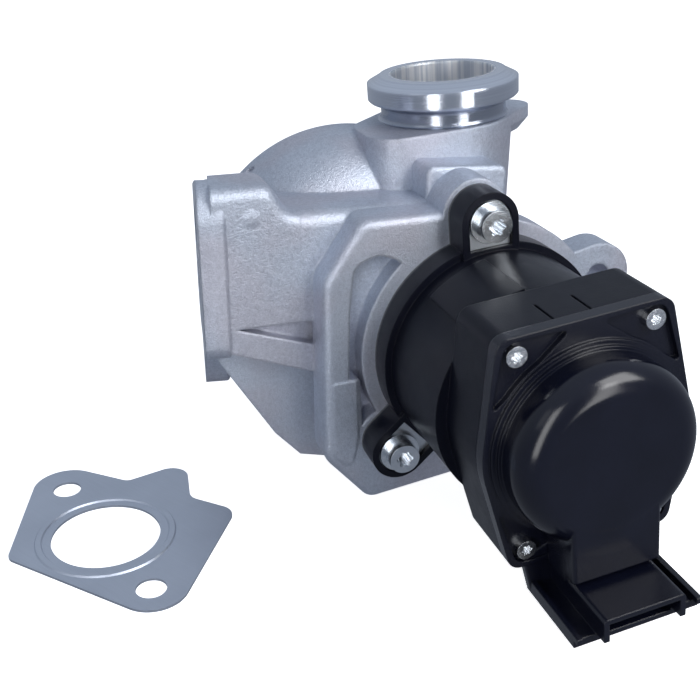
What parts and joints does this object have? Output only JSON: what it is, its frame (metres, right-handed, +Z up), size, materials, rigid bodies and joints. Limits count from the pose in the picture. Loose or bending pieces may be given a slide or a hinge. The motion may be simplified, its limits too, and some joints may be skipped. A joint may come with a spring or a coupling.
{
  "type": "egr valve",
  "caption": "Electrically driven exhaust gas recirculation valve: cast body with beaded spigot and port flange, black plastic actuator, loose port gasket.",
  "frame": {"origin": "on the actuator axis, at the casting face that the actuator is bolted to", "axes": "-Y along the actuator axis towards the cap, +Z up along the cast edges towards the spigot, -X towards the port flange"},
  "size_m": [0.2034, 0.1731, 0.1303],
  "materials": {
    "cast_aluminium": "as cast, fine grain",
    "machined_steel": "turned",
    "valve_steel": "ground",
    "spring_steel": "drawn wire",
    "sheet_steel": "satin sheet",
    "light_plate": "satin",
    "seal_rubber": "matte",
    "zinc_screw": "zinc plated",
    "black_plastic": "moulded, semi matte",
    "cap_plastic": "moulded, semi gloss",
    "cover_screw": "zinc plated",
    "shield_metal": "die cast",
    "bearing_steel": "polished",
    "core_steel": "laminated",
    "copper": "enamelled copper wire",
    "magnet": "sintered",
    "board": "solder mask",
    "chip": "moulded",
    "tinned_blade": "tinned"
  },
  "bodies": {
    "valve_body": {"valve_housing": "cast_aluminium", "seat_ring": "machined_steel", "core_plug": "machined_steel", "stem_guide": "machined_steel", "stem_seal": "seal_rubber", "base_gasket": "seal_rubber", "base_plate": "light_plate", "mounting_screws": "zinc_screw", "actuator_housing": "black_plastic", "front_end_shield": "shield_metal", "rear_end_shield": "shield_metal", "front_bearing_outer_ring": "bearing_steel", "rear_bearing_outer_ring": "bearing_steel", "front_bearing_balls": "bearing_steel", "rear_bearing_balls": "bearing_steel", "stator_core": "core_steel", "stator_coils": "copper", "spindle_guide": "machined_steel", "sensor_board": "board", "hall_sensor": "chip", "terminal_pins": "tinned_blade", "cover": "cap_plastic", "cover_seal": "seal_rubber", "cover_screws": "cover_screw", "port_gasket": "sheet_steel", "return_spring": "spring_steel"},
    "rotor": {"rotor_hub": "machined_steel", "rotor_magnets": "magnet", "front_bearing_inner_ring": "bearing_steel", "rear_bearing_inner_ring": "bearing_steel"},
    "valve": {"poppet_valve": "valve_steel", "spring_retainer": "valve_steel", "collets": "valve_steel", "spindle": "valve_steel", "magnet_holder": "black_plastic", "sensor_magnet": "magnet"}
  },
  "joints": [
    {"name": "rotor_turn", "type": "hinge", "parent": "valve_body", "child": "rotor", "pos_m": [0, -0.038, 0], "axis": [0, 1, 0], "range_deg": [0, 720]},
    {"name": "valve_lift", "type": "slide", "parent": "valve_body", "child": "valve", "axis": [0, 1, 0], "range_m": [0, 0.006], "deforming": ["return_spring"]}
  ],
  "couplings": [
    {"joint": "valve_lift", "follows": "rotor_turn", "m_per_rad": 0.00047746}
  ]
}
